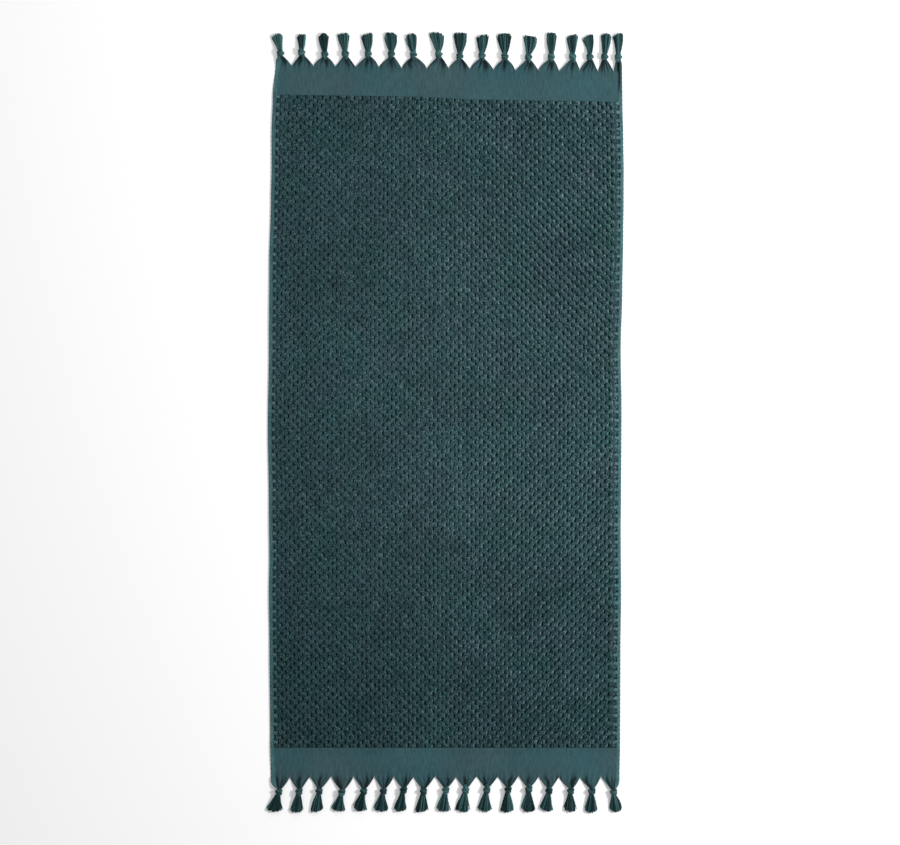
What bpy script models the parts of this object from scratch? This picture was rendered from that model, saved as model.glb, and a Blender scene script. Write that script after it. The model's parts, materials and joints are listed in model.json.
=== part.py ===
"""A fringed bath towel, laid out flat.

+X is the towel's width, +Y its length towards the head end, +Z up. The origin is on the ground under
the middle of the towel, and everything rests on the ground plane z = 0.
"""

import math

import bmesh
import bpy
from mathutils import Matrix, Vector

# The cloth
TOWEL_WIDTH = 0.700
CLOTH_LENGTH = 1.418  # from one fringe root to the other, down the middle
HEAD_SKEW = 0.013  # how much further the head end reaches at its left corner than at its right
BAND_LENGTH = 0.060
SELVEDGE_WIDTH = 0.008
FIELD_THICKNESS = 0.006  # ground weave and the pile on both its faces
FLAT_THICKNESS = 0.0016  # the flat-woven bands and selvedges
FIELD_ROUNDING = 0.0018
FLAT_ROUNDING = 0.0004
CLEARANCE = 0.0003  # between pieces that touch

# The fold across the width: the head half turns up and over onto the foot half, about a line just above
# the pile. It lies off the middle, so that the head's tassels come down on the foot's flat band.
FOLD_Y = 0.035
FOLD_HEIGHT = 0.0085

# The fringe
GATHER_LENGTH = 0.019  # from the fringe root to the neck of the tassel
NECK_WIDTH = 0.007
NECK_HEIGHT = 0.006
TIP_Y = 0.778  # the line that every brush is cut to
TASSEL_SIDES = 8

# The knot: distance from the neck, which is the pivot, with the width and height there
KNOT_PROFILE = (
    (0.0010, 0.0020, 0.0050),
    (0.0035, 0.0095, 0.0085),
    (0.0085, 0.0145, 0.0120),
    (0.0130, 0.0115, 0.0105),
    (0.0160, 0.0080, 0.0080),
)
# The brush: share of the way from the knot to the tip, share of the flare, and height
BRUSH_PROFILE = (
    (0.35, 0.66, 0.0088),
    (0.70, 0.88, 0.0090),
    (1.00, 1.00, 0.0070),
)

# Each tassel as it lies: centre in millimetres from the middle of the towel, lean in degrees
# (positive towards +X) and width of its cut end in millimetres
HEAD_TASSELS = (
    (-329, -11, 18),
    (-287, -6, 16),
    (-241, -7, 18),
    (-200, -6, 21),
    (-154, -7, 20),
    (-108, -6, 22),
    (-64, -8, 20),
    (-13, -11, 24),
    (28, -4, 25),
    (72, 1, 22),
    (118, -5, 25),
    (165, -5, 26),
    (210, 0, 19),
    (253, -5, 20),
    (288, -7, 20),
    (316, 3, 18),
    (344, -6, 18),
)
FOOT_TASSELS = (
    (-332, -10, 27),
    (-292, -9, 21),
    (-252, -9, 20),
    (-206, -13, 24),
    (-163, -12, 23),
    (-124, -10, 25),
    (-84, -12, 22),
    (-44, -9, 21),
    (0, -9, 22),
    (40, -13, 23),
    (82, -12, 23),
    (124, -10, 25),
    (165, -3, 25),
    (206, -10, 24),
    (249, -8, 21),
    (291, -5, 22),
    (333, 5, 22),
)

HALF_WIDTH = TOWEL_WIDTH / 2
ROOT_Y = CLOTH_LENGTH / 2
FIELD_END = ROOT_Y - BAND_LENGTH
INNER_HALF_WIDTH = HALF_WIDTH - SELVEDGE_WIDTH  # the field and the bands lie inside this


def skew(end, x):
    """How far past its square line the cloth reaches at x. Only the head end lies askew."""
    return -HEAD_SKEW * x / TOWEL_WIDTH if end > 0 else 0.0


def neck_y(end, x):
    return end * (ROOT_Y + GATHER_LENGTH) + skew(end, x)


def clear_scene():
    for obj in list(bpy.data.objects):
        bpy.data.objects.remove(obj)


def collection(name):
    made = bpy.data.collections.new(name)
    bpy.context.scene.collection.children.link(made)
    return made


def material(name, colour, roughness):
    made = bpy.data.materials.new(name)
    made.use_nodes = True
    shader = made.node_tree.nodes["Principled BSDF"]
    shader.inputs["Base Color"].default_value = (*colour, 1.0)
    shader.inputs["Roughness"].default_value = roughness
    shader.inputs["Metallic"].default_value = 0.0
    return made


def fold_line(group):
    """The empty on the fold's axis. Everything beyond the fold hangs on it."""
    empty = bpy.data.objects.new("fold_line", None)
    empty.location = (0, FOLD_Y, FOLD_HEIGHT)
    group.objects.link(empty)
    return empty


def place(obj, group, finish, turns_on=None):
    """Moves a new object into the towel's collection, gives it its own material and hangs it on the fold
    line if it turns with the head half."""
    for holder in list(obj.users_collection):
        holder.objects.unlink(obj)
    group.objects.link(obj)
    obj.data.materials.clear()
    obj.data.materials.append(finish)
    if turns_on:
        obj.parent = turns_on
        obj.matrix_parent_inverse = Matrix.Translation(-turns_on.location)
    return obj


def slab(name, low, high, rounding, group, finish, turns_on=None):
    """A flat box between two corners, with rounded edges. Its far end is cut askew at the head end."""
    size = Vector(high) - Vector(low)
    bpy.ops.mesh.primitive_cube_add(size=1.0, location=(Vector(low) + Vector(high)) / 2)
    obj = bpy.context.active_object
    obj.name = name
    obj.data.name = name
    obj.data.transform(Matrix.Diagonal((*size, 1.0)))
    for vertex in obj.data.vertices:
        if high[1] > FOLD_Y and vertex.co.y > 0:
            vertex.co.y += skew(1, obj.location.x + vertex.co.x)
    bevel = obj.modifiers.new("rounded edges", "BEVEL")
    bevel.width = rounding
    bevel.segments = 2
    return place(obj, group, finish, turns_on)


def half_spans(reach, fold):
    """Each half's name, the Y it starts and ends at, and the empty it turns on."""
    return (
        ("foot", -reach, FOLD_Y - CLEARANCE / 2, None),
        ("head", FOLD_Y + CLEARANCE / 2, reach, fold),
    )


def terry_fields(group, finish, fold):
    """The pile field, on each side of the fold."""
    side = INNER_HALF_WIDTH - CLEARANCE
    for half, start, end, turns_on in half_spans(FIELD_END, fold):
        low = (-side, start, 0)
        high = (side, end, FIELD_THICKNESS)
        slab(f"terry_field_{half}", low, high, FIELD_ROUNDING, group, finish, turns_on)


def selvedges(group, finish, fold):
    """The flat-woven strips down both long sides, on each side of the fold."""
    sides = {
        "left": (-HALF_WIDTH, -INNER_HALF_WIDTH),
        "right": (INNER_HALF_WIDTH, HALF_WIDTH),
    }
    for side, (inner, outer) in sides.items():
        for half, start, end, turns_on in half_spans(ROOT_Y, fold):
            low = (inner, start, 0)
            high = (outer, end, FLAT_THICKNESS)
            slab(f"selvedge_{side}_{half}", low, high, FLAT_ROUNDING, group, finish, turns_on)


def gather_edges(centres):
    """The X of the valleys between gathers, with the two ends of the fringe root."""
    valleys = [(a + b) / 2 for a, b in zip(centres, centres[1:])]
    return [-HALF_WIDTH, *valleys, HALF_WIDTH]


def end_band(name, end, centres, group, finish, turns_on):
    """The flat band, and the gathers that narrow from its edge to the neck of each tassel. end is 1 at the
    head and -1 at the foot."""
    field_y = end * (FIELD_END + CLEARANCE)
    root_y = end * (ROOT_Y + CLEARANCE)
    tip_y = end * (ROOT_Y + GATHER_LENGTH)
    side = INNER_HALF_WIDTH - CLEARANCE
    edges = gather_edges(centres)
    bm = bmesh.new()

    def point(x, y):
        return bm.verts.new((x, y + skew(end, x), 0))

    plate_left = point(-side, root_y)
    plate_right = point(side, root_y)
    roots = [point(x, root_y) for x in edges]
    bm.faces.new(
        [point(-side, field_y), plate_left, *roots[1:-1], plate_right, point(side, field_y)]
    )
    necks = []
    for i, centre in enumerate(centres):
        neck = [point(centre + NECK_WIDTH / 2, tip_y), point(centre - NECK_WIDTH / 2, tip_y)]
        necks += neck
        base = [roots[i], roots[i + 1]]
        if i == 0:
            base.insert(1, plate_left)
        if i == len(centres) - 1:
            base.insert(1, plate_right)
        bm.faces.new(base + neck)
    neck_xy = {tuple(round(c, 6) for c in v.co.xy) for v in necks}
    raised = bmesh.ops.extrude_face_region(bm, geom=bm.faces[:])["geom"]
    for v in raised:
        if isinstance(v, bmesh.types.BMVert):
            at_neck = tuple(round(c, 6) for c in v.co.xy) in neck_xy
            v.co.z = NECK_HEIGHT if at_neck else FLAT_THICKNESS
    bmesh.ops.recalc_face_normals(bm, faces=bm.faces[:])
    mesh = bpy.data.meshes.new(name)
    bm.to_mesh(mesh)
    bm.free()
    return place(bpy.data.objects.new(name, mesh), group, finish, turns_on)


def tassel_sections(length, flare):
    """Distance from the neck, width and height of each section along a tassel."""
    knot_end = KNOT_PROFILE[-1][0]
    brush = [
        (knot_end + share * (length - knot_end), flare * spread, height)
        for share, spread, height in BRUSH_PROFILE
    ]
    return [*KNOT_PROFILE, *brush]


def tassel(name, end, centre, lean, flare, group, finish, turns_on):
    """A knot and its brush as one body: an oval loft along +Y, flattened where it lies on the ground. Its
    origin is at its neck, on the upright axis that it swings about."""
    bm = bmesh.new()
    rings = []
    pivot_y = neck_y(end, centre)
    length = (TIP_Y - abs(pivot_y)) / math.cos(lean)
    for y, width, height in tassel_sections(length, flare):
        ring = []
        for k in range(TASSEL_SIDES):
            angle = 2 * math.pi * (k + 0.5) / TASSEL_SIDES
            reach = 1 / math.cos(math.pi / TASSEL_SIDES)
            x = width / 2 * math.cos(angle) * reach
            z = height / 2 * (1 + math.sin(angle) * reach)
            ring.append(bm.verts.new((x, y, z)))
        rings.append(ring)
    for near, far in zip(rings, rings[1:]):
        for k in range(TASSEL_SIDES):
            after = (k + 1) % TASSEL_SIDES
            bm.faces.new((near[k], near[after], far[after], far[k]))
    bm.faces.new(rings[0])
    bm.faces.new(rings[-1])
    bmesh.ops.recalc_face_normals(bm, faces=bm.faces[:])
    mesh = bpy.data.meshes.new(name)
    bm.to_mesh(mesh)
    bm.free()
    mesh.shade_smooth()
    mesh.set_sharp_from_angle(angle=math.radians(50))
    obj = bpy.data.objects.new(name, mesh)
    obj.location = (centre, pivot_y, 0)
    turned_round = 0 if end > 0 else math.pi
    obj.rotation_euler = (0, 0, turned_round - end * lean)
    return place(obj, group, finish, turns_on)


def fringe(half, end, tassels, group, band_finish, yarn_finish, turns_on=None):
    """One end of the towel: its band with the gathers, and its tassels."""
    centres = [centre / 1000 for centre, _, _ in tassels]
    end_band(f"end_band_{half}", end, centres, group, band_finish, turns_on)
    for number, (centre, lean, flare) in enumerate(tassels, 1):
        name = f"tassel_{half}_{number:02d}"
        sizes = (centre / 1000, math.radians(lean), flare / 1000)
        tassel(name, end, *sizes, group, yarn_finish, turns_on)


def main():
    clear_scene()
    towel = collection("bath_towel")
    fold = fold_line(towel)
    terry = material("terry_pile", (0.027, 0.060, 0.066), 0.95)
    flat = material("flat_weave", (0.043, 0.100, 0.112), 0.85)
    edge = material("selvedge_weave", (0.060, 0.140, 0.155), 0.85)
    yarn = material("tassel_yarn", (0.027, 0.069, 0.074), 0.80)
    terry_fields(towel, terry, fold)
    selvedges(towel, edge, fold)
    fringe("head", 1, HEAD_TASSELS, towel, flat, yarn, turns_on=fold)
    fringe("foot", -1, FOOT_TASSELS, towel, flat, yarn)


main()
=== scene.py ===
"""The looks of a fringed bath towel, laid out flat and seen from straight above.

+X is the towel's width, +Y its length towards the head end, +Z up, in metres, with z = 0 on the ground.
The towel is one woven cloth, drawn into 17 gathers at each end. Terry pile stands on both its faces
between the two flat bands, a selvedge runs down each side, and a knotted tassel hangs on every gather.
"""

import json
import math
from dataclasses import dataclass

import bpy
import numpy as np
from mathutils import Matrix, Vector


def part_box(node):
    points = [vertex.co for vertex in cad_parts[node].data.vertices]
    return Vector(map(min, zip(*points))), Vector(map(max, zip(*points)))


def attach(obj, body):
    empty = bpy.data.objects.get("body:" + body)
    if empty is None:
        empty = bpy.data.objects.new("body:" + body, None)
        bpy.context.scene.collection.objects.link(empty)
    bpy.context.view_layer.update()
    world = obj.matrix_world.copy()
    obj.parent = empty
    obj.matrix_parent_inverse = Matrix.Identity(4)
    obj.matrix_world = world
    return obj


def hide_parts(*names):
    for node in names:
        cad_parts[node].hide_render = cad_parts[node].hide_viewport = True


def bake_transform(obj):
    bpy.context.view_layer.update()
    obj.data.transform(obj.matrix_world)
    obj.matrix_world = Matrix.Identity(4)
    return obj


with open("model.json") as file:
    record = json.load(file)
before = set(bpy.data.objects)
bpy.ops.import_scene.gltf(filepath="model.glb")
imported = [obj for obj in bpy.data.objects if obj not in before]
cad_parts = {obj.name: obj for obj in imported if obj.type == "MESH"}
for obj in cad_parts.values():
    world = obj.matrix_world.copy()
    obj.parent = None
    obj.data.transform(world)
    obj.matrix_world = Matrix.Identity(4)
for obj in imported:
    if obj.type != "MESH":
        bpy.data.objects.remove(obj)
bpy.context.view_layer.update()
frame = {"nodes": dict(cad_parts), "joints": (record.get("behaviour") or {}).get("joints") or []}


def joint(name):
    return next(j for j in frame["joints"] if j["name"] == name)


def extent(node, axis):
    """How far a node's box reaches from the ground plane or the middle of the towel along X, Y or Z."""
    low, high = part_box(node)
    index = "XYZ".index(axis)
    return round(max(-low[index], high[index]), 4)


# The cloth, from the frame. The selvedge and the field of the foot end are square to the axes.
HALF_WIDTH = extent("selvedge_right_foot", "X")
TOWEL_WIDTH = 2 * HALF_WIDTH
ROOT_Y = extent("selvedge_right_foot", "Y")  # the roots of the fringe, where the gathers start
BAND_LENGTH = round(ROOT_Y - extent("terry_field_foot", "Y"), 4)
FIELD_END = ROOT_Y - BAND_LENGTH
FOLD_Y = joint("fold_across_width")["pos_m"][1]
FLAT_THICKNESS = extent("selvedge_right_foot", "Z")
MID_HEIGHT = extent("terry_field_foot", "Z") / 2  # the middle of the cloth under the pile

# The rest of the cloth
HEAD_SKEW = 0.013  # how much further the head end reaches at its left corner than at its right
TIP_Y = 0.778  # the line that the brushes are cut to
FOLD_REACH = 0.010  # the cloth bends over this much on each side of the fold line
GROUND_THICKNESS = 0.0010  # the ground weave under the pile
CLEAR_OF_GROUND = 0.00005

# How the long sides lie: Y along the towel, and how far out the side lies there
LEFT_SIDE = (
    (-0.706, -0.0006), (-0.634, 0.0005), (-0.454, 0.0019), (-0.335, 0.0031), (-0.275, 0.0021),
    (-0.155, 0.0031), (-0.010, 0.0051), (0.144, 0.0031), (0.324, 0.0021), (0.443, -0.0010),
    (0.503, -0.0024), (0.562, -0.0022), (0.650, -0.0048), (0.710, -0.0104),
)
RIGHT_SIDE = (
    (-0.706, -0.0040), (-0.634, -0.0028), (-0.454, -0.0022), (-0.335, -0.0007), (-0.215, -0.0016),
    (-0.155, -0.0009), (0.024, 0.0001), (0.144, -0.0016), (0.264, 0.0017), (0.383, 0.0035),
    (0.443, 0.0043), (0.503, 0.0045), (0.562, 0.0037), (0.650, 0.0019), (0.710, 0.0014),
)
SKEW_START = 0.15  # the head end's skew grows from here to its root
WIDER_BAND_START = 0.45  # the right half of the head band takes its extra width from here on
WIDER_BAND = 0.0036
SWELL_HEIGHT = 0.0011

# The pile's tufts, laid like bricks
TUFT_PITCH = 0.0167
ROWS = 150
ROW_PITCH = FIELD_END * 2 / ROWS
SLOT_HALF_LENGTH = 0.0044  # the dark slot between two neighbouring tufts of a row
SLOT_HALF_WIDTH = 0.0014
TUFT_HEIGHT = 0.0028  # above the middle of the cloth
PIT_HEIGHT = 0.0006  # the floor of a slot
OVER_CLOTH = 0.00012  # the upper pile's start above the middle of the cloth
SEAM_DEPTH = 0.0013  # the grooves between one row's tufts and the next row's
DOME_HEIGHT = 0.0004
LOOP_HEIGHT = 0.00034  # how uneven single loops make the tufts
UPRIGHT_HEIGHT = 0.0006  # the loops that stand up along the left of a slot
FLOAT_HEIGHT = 0.0017  # the flat yarns between the short rows' ends and the selvedge's rim
FLOAT_LIGHTS = (0.80, 1.30)  # on the left and on the right
LEFT_ROW_ENDS = (0.3440, 0.3355)  # where the long rows and the short ones end, from the towel's middle
RIGHT_ROW_ENDS = (0.3452, 0.3345)
EDGE_SHADOW_START = 0.3375  # the pile beyond here is painted darker, a painted shadow round the row ends and floats
PILE_STEP_ACROSS = 0.0012
PILE_STEP_ALONG = 0.0016
ROWS_PER_CHUNK = 12

# The gathers
HEAD_BORDER_SHIFTS = (  # how far each cut between two gathers lies to +X of halfway between their knots
    -0.010, -0.008, -0.006, -0.006, -0.004, -0.002, 0.000, -0.002, -0.002, 0.000, -0.004, -0.004,
    -0.007, -0.005, 0.000, 0.003,
)
GATHER_COLUMNS = 24
GATHER_ROWS = 12
NECK_RADIUS = 0.0044
NECK_INSIDE_KNOT = 0.0052  # a gather ends this far short of the middle of its knot
PLEAT_HEIGHT = 0.0015
PLEAT_FADE = 0.0062  # how far into the band the pleats, their dark creases and the cuts die away
CREASE_FADE = 0.0075
VALLEY_FADE = 0.0060
CREASE_WIDENING = 2.2
LONG_SIDE_LATENESS = 2.8
LONG_CREASE_X = 0.3445  # a long crease in the right corner of the head end
LONG_CREASE_WIDTH = 0.0036
LONG_CREASE_START = 0.652
BAND_DENT = 0.0012  # its depth in the band

# The selvedges
SELVEDGE_REACH = 0.0105  # from the rim inwards, partly over the band and the pile's edge
SELVEDGE_HALF_THICKNESS = 0.00105
SELVEDGE_RISE = PLEAT_HEIGHT + 0.0003  # how far it stands up over the pleats at the roots
SELVEDGE_DENT = 0.0014  # the depth of the long crease
SCALLOP = 0.0003  # the rim waves once for each row of tufts
RIM_LIGHT = {"left": 0.45, "right": 0.10}  # how much lighter the yarns at the rim are

MM = 0.001


# Small tools


def smooth(t):
    """0 before 0, 1 after 1, and an easy curve between."""
    t = np.clip(t, 0, 1)
    return t * t * (3 - 2 * t)


def soft_noise(x, y, size, seed):
    """A smooth random field from -1 to 1, with bumps about as wide as size."""
    table = np.random.default_rng(seed).uniform(-1, 1, (256, 256))
    u = np.asarray(x) / size
    v = np.asarray(y) / size
    i = np.floor(u).astype(int)
    j = np.floor(v).astype(int)
    fu = smooth(u - i)
    fv = smooth(v - j)
    low = table[i % 256, j % 256] * (1 - fu) + table[(i + 1) % 256, j % 256] * fu
    high = table[i % 256, (j + 1) % 256] * (1 - fu) + table[(i + 1) % 256, (j + 1) % 256] * fu
    return low * (1 - fv) + high * fv


def mesh_object(name, points, faces, finish, values=None):
    """A smooth-shaded mesh object. faces is one array of four-cornered faces, and values holds numbers
    for each point, by attribute name."""
    mesh = bpy.data.meshes.new(name)
    mesh.vertices.add(len(points))
    mesh.vertices.foreach_set("co", np.asarray(points, np.float32).ravel())
    mesh.loops.add(faces.size)
    mesh.loops.foreach_set("vertex_index", np.asarray(faces, np.int32).ravel())
    mesh.polygons.add(len(faces))
    mesh.polygons.foreach_set("loop_start", np.arange(0, faces.size, 4, dtype=np.int32))
    mesh.update(calc_edges=True)
    mesh.shade_smooth()
    for key, value in (values or {}).items():
        attribute = mesh.attributes.new(key, "FLOAT", "POINT")
        attribute.data.foreach_set("value", np.asarray(value, np.float32))
    mesh.materials.append(finish)
    obj = bpy.data.objects.new(name, mesh)
    bpy.context.scene.collection.objects.link(obj)
    return obj


def sharpen_rim(mesh, rows, columns):
    """Marks the rim of a closed sheet as sharp, so that its walls don't tilt the shading of its faces."""
    on_rim = np.zeros((2, rows, columns), bool)
    on_rim[:, [0, -1], :] = True
    on_rim[:, :, [0, -1]] = True
    ends = np.empty(2 * len(mesh.edges), np.int32)
    mesh.edges.foreach_get("vertices", ends)
    sharp = on_rim.ravel()[ends.reshape(-1, 2)].all(axis=1)
    mesh.attributes.new("sharp_edge", "BOOLEAN", "EDGE").data.foreach_set("value", sharp)


def quads(ids):
    """The faces between neighbouring rows and columns of a grid of point numbers."""
    near = ids[:-1]
    far = ids[1:]
    corners = (near[:, :-1], near[:, 1:], far[:, 1:], far[:, :-1])
    return np.stack([c.ravel() for c in corners], axis=1)


def two_faces(x, y, high, low):
    """The points of the upper and lower face of a stretch of cloth, kept clear of the ground."""
    low = np.maximum(low, CLEAR_OF_GROUND)
    return [np.stack(np.broadcast_arrays(x, y, z), axis=-1) for z in (high, low)]


def closed_sheet(top, bottom):
    """Points and faces of a closed body between two grids of points that face up and down. Rows run
    towards +Y and columns towards +X."""
    rows, columns = top.shape[:2]
    upper = np.arange(rows * columns).reshape(rows, columns)
    lower = upper + rows * columns
    rim = [upper[0], upper[:, -1], upper[-1, ::-1], upper[::-1, 0]]
    walls = [quads(np.stack([edge + rows * columns, edge])) for edge in rim]
    points = np.concatenate([top.reshape(-1, 3), bottom.reshape(-1, 3)])
    return points, np.concatenate([quads(upper), quads(lower)[:, ::-1], *walls])


# How the cloth lies on the ground


def skew(x, y):
    """How far past its square place the cloth reaches. Only the head end lies askew, and its band is wider
    in its right half."""
    share = smooth((y - SKEW_START) / (FIELD_END - SKEW_START)) * 0.85
    past_field = np.clip((y - FIELD_END) / BAND_LENGTH, 0, 1)
    wider_band = smooth((y - WIDER_BAND_START) / (FIELD_END - WIDER_BAND_START)) * (1 - past_field)
    wider_band = wider_band * smooth((x + 0.06) / 0.12)
    return -HEAD_SKEW * x / TOWEL_WIDTH * (share + 0.15 * past_field) - WIDER_BAND * wider_band


def side_place(y, side):
    """How far out one long side lies, with easy curves between the places in its list."""
    places = np.array(side)
    after = np.clip(np.searchsorted(places[:, 0], y), 1, len(places) - 1)
    low, high = places[after - 1], places[after]
    share = smooth((y - low[..., 0]) / (high[..., 0] - low[..., 0]))
    return low[..., 1] + (high[..., 1] - low[..., 1]) * share


def pulled(x, y):
    """How far the cloth is drawn sideways, as its two long sides run."""
    y = np.asarray(y, float)
    left = -side_place(y, LEFT_SIDE) * smooth((-0.10 - x) / 0.25)
    right = side_place(y, RIGHT_SIDE) * smooth((x - 0.10) / 0.25)
    return left + right


def swell(x, y):
    """The gentle rise and fall of the cloth. It dies away at both ends, where the tassels turn."""
    rolls = soft_noise(x, y, 0.115, 11) + 0.6 * soft_noise(x, y, 0.052, 12)
    inside = smooth((ROOT_Y - abs(y)) / 0.05)
    return SWELL_HEIGHT * (0.5 + 0.5 * np.clip(rolls, -1, 1)) * inside


def middle_height(x, y):
    """The height of the middle of the cloth: raised by the pile under it, low in the bands and edges."""
    inwards = smooth((FIELD_END + 0.014 - abs(y)) / 0.016)
    inwards = inwards * smooth((HALF_WIDTH + 0.004 - abs(x)) / 0.012)
    flat = FLAT_THICKNESS / 2 + 0.0001
    return flat + (MID_HEIGHT - flat) * inwards


def lie(x, y):
    """Where a point of the flat cloth comes to lie, as three arrays."""
    return x + pulled(x, y), y + skew(x, y), middle_height(x, y) + swell(x, y)


# The woven cloth with its gathers


def tassel_names(half):
    return sorted(n for n in frame["nodes"] if n.startswith(f"tassel_{half}_"))


def neck_of(name):
    """The point that a tassel swings about."""
    return np.array(joint(name.replace("tassel", "swing"))["pos_m"])


def gather_edges(half):
    """The X of the valleys between gathers, with the two ends of the fringe root."""
    centres = np.array([neck_of(name)[0] for name in tassel_names(half)])
    borders = (centres[1:] + centres[:-1]) / 2
    if half == "head":
        borders = borders + np.array(HEAD_BORDER_SHIFTS)
    return np.concatenate([[-HALF_WIDTH], borders, [HALF_WIDTH]])


def column_places(half):
    """The X of every column of the cloth at one root, as gathers by columns. The selvedges cover the two
    outermost columns' edges."""
    edges = gather_edges(half)
    share = np.linspace(0, 1, GATHER_COLUMNS + 1)
    places = edges[:-1, None] + (edges[1:] - edges[:-1])[:, None] * share
    side = HALF_WIDTH - 0.004
    return np.clip(places, -side, side)


def pleats(half, out=0.0):
    """0 in the creases of each gather and 1 on the rounds between them, as gathers by columns. Further out,
    from 0 at the root to 1 at the neck, a crease takes up more of its gather and bends to one side."""
    rng = np.random.default_rng(21 if half == "head" else 22)
    out = np.asarray(out, float)
    columns = np.arange(GATHER_COLUMNS + 1)
    wider = 1 + CREASE_WIDENING * out
    shape = []
    for _ in tassel_names(half):
        bend = rng.uniform(-2.5, 2.5) * np.sin(math.pi * out)
        main = rng.uniform(0.20, 0.82) * GATHER_COLUMNS + bend
        gather = 1 - np.exp(-(((columns - main) / (1.5 * wider)) ** 2))
        crease = rng.uniform(1.5, 4.5)
        while crease < GATHER_COLUMNS - 1:
            depth = rng.uniform(0.25, 1.0)
            gather = gather * (1 - depth * np.exp(-(((columns - crease - bend) / (0.9 * wider)) ** 2)))
            crease += rng.uniform(3.5, 8.0)
        shape.append(gather)
    return np.stack(shape, axis=-2)


def valleys(half):
    """How far the cut between gathers reaches inwards past the root at each column, as gathers by
    columns. The two long sides have none."""
    rng = np.random.default_rng(25 if half == "head" else 26)
    low, high = (0.0034, 0.0048) if half == "head" else (0.0018, 0.0054)
    borders = rng.uniform(low, high, len(tassel_names(half)) + 1)
    borders[[0, -1]] = 0
    share = np.linspace(-1, 1, GATHER_COLUMNS + 1)
    left = borders[:-1, None] * np.clip(-share, 0, 1) ** 7
    right = borders[1:, None] * np.clip(share, 0, 1) ** 7
    return left + right


def long_crease(x, y):
    """1 along the long crease in the right corner of the head end, and 0 away from it."""
    across = np.exp(-(((x - LONG_CREASE_X) / LONG_CREASE_WIDTH) ** 2))
    return across * smooth((y - LONG_CREASE_START) / 0.030) ** 0.7 * 1.1


def cloth_rows():
    """The Y of the cloth's rows from root to root: close together at the pleats and at the fold, and wide
    apart under the pile."""
    pleated = np.linspace(0, 0.021, 15)
    plain = np.linspace(0.021, BAND_LENGTH + 0.004, 11)
    inwards = np.concatenate([pleated, plain])
    middle = np.linspace(-FIELD_END + 0.02, FIELD_END - 0.02, 28)
    fold = FOLD_Y + np.linspace(-1.4, 1.4, 13) * FOLD_REACH
    middle = middle[abs(middle - FOLD_Y) > 1.6 * FOLD_REACH]
    return np.unique(np.round(np.concatenate([inwards - ROOT_Y, middle, fold, ROOT_Y - inwards]), 6))


def cloth_between_roots():
    """Top and bottom points of the cloth from root to root, and its crease values, a painted shade in the
    pleats' creases and the long crease, as rows by gathers by columns."""
    rows = cloth_rows()
    towards_head = ((rows + ROOT_Y) / (2 * ROOT_Y))[:, None, None]
    x = column_places("foot") * (1 - towards_head) + column_places("head") * towards_head
    y = np.broadcast_to(rows[:, None, None], x.shape)
    to_root = ROOT_Y - abs(y)
    at_head = y > 0
    pleat = np.where(at_head, pleats("head"), pleats("foot"))
    valley = np.where(at_head, valleys("head"), -valleys("foot")) * np.exp(-to_root / VALLEY_FADE)
    drawn = np.exp(-to_root / PLEAT_FADE)
    half_thick = np.where(to_root < BAND_LENGTH, FLAT_THICKNESS / 2, GROUND_THICKNESS / 2)
    px, py, pz = lie(x, y)
    high = pz + half_thick + PLEAT_HEIGHT * drawn * pleat - BAND_DENT * long_crease(x, y)
    # Painted shade in the creases between pleats near the roots, and in the long crease
    crease = (1 - pleat) * np.exp(-to_root / CREASE_FADE)
    return *two_faces(px, py - valley, high, pz - half_thick), np.maximum(crease, long_crease(x, y))


def gather_tops(half):
    """The point where each gather goes into its knot."""
    end = 1 if half == "head" else -1
    tops = np.array([neck_of(name) for name in tassel_names(half)])
    tops[:, 1] += end * (np.array(KNOTS[half]) - NECK_INSIDE_KNOT)
    return tops


def drawn_in(half, root_x, neck, share, out, lateness):
    """Where cloth from the fringe root comes to lie on its way to a neck: x, y, the height of its middle
    and half its thickness. share runs from -1 to 1 across the gather, and out from 0 at the root to 1 at
    the neck. lateness is 1 for a side that runs straight to the neck, and more for one that bulges."""
    end = 1 if half == "head" else -1
    narrowing = out ** lateness
    root_x, root_y, root_z = lie(root_x, np.full(root_x.shape, end * ROOT_Y))
    x = root_x + (neck[..., 0] + share * NECK_RADIUS - root_x) * narrowing
    y = root_y + (neck[..., 1] - root_y) * out
    closing = smooth((out - 0.25) / 0.75)
    round_off = np.sqrt(np.maximum(0.02, 1 - share ** 2))
    half_thick = FLAT_THICKNESS / 2 * (1 - closing) + NECK_RADIUS * 0.72 * round_off * closing
    middle = root_z * (1 - closing) + NECK_RADIUS * 0.85 * closing
    return x, y, middle, half_thick


def side_lateness(half, share):
    """How much each gather's sides bulge, as gathers by columns. The two long sides turn in last."""
    rng = np.random.default_rng(27 if half == "head" else 28)
    low, high = (0.85, 1.45) if half == "head" else (0.85, 1.25)
    sides = rng.uniform(low, high, (len(tassel_names(half)), 2))
    sides[0, 0] = LONG_SIDE_LATENESS
    sides[-1, 1] = LONG_SIDE_LATENESS
    return sides[:, :1] + (sides[:, 1:] - sides[:, :1]) * (share + 1) / 2


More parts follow.
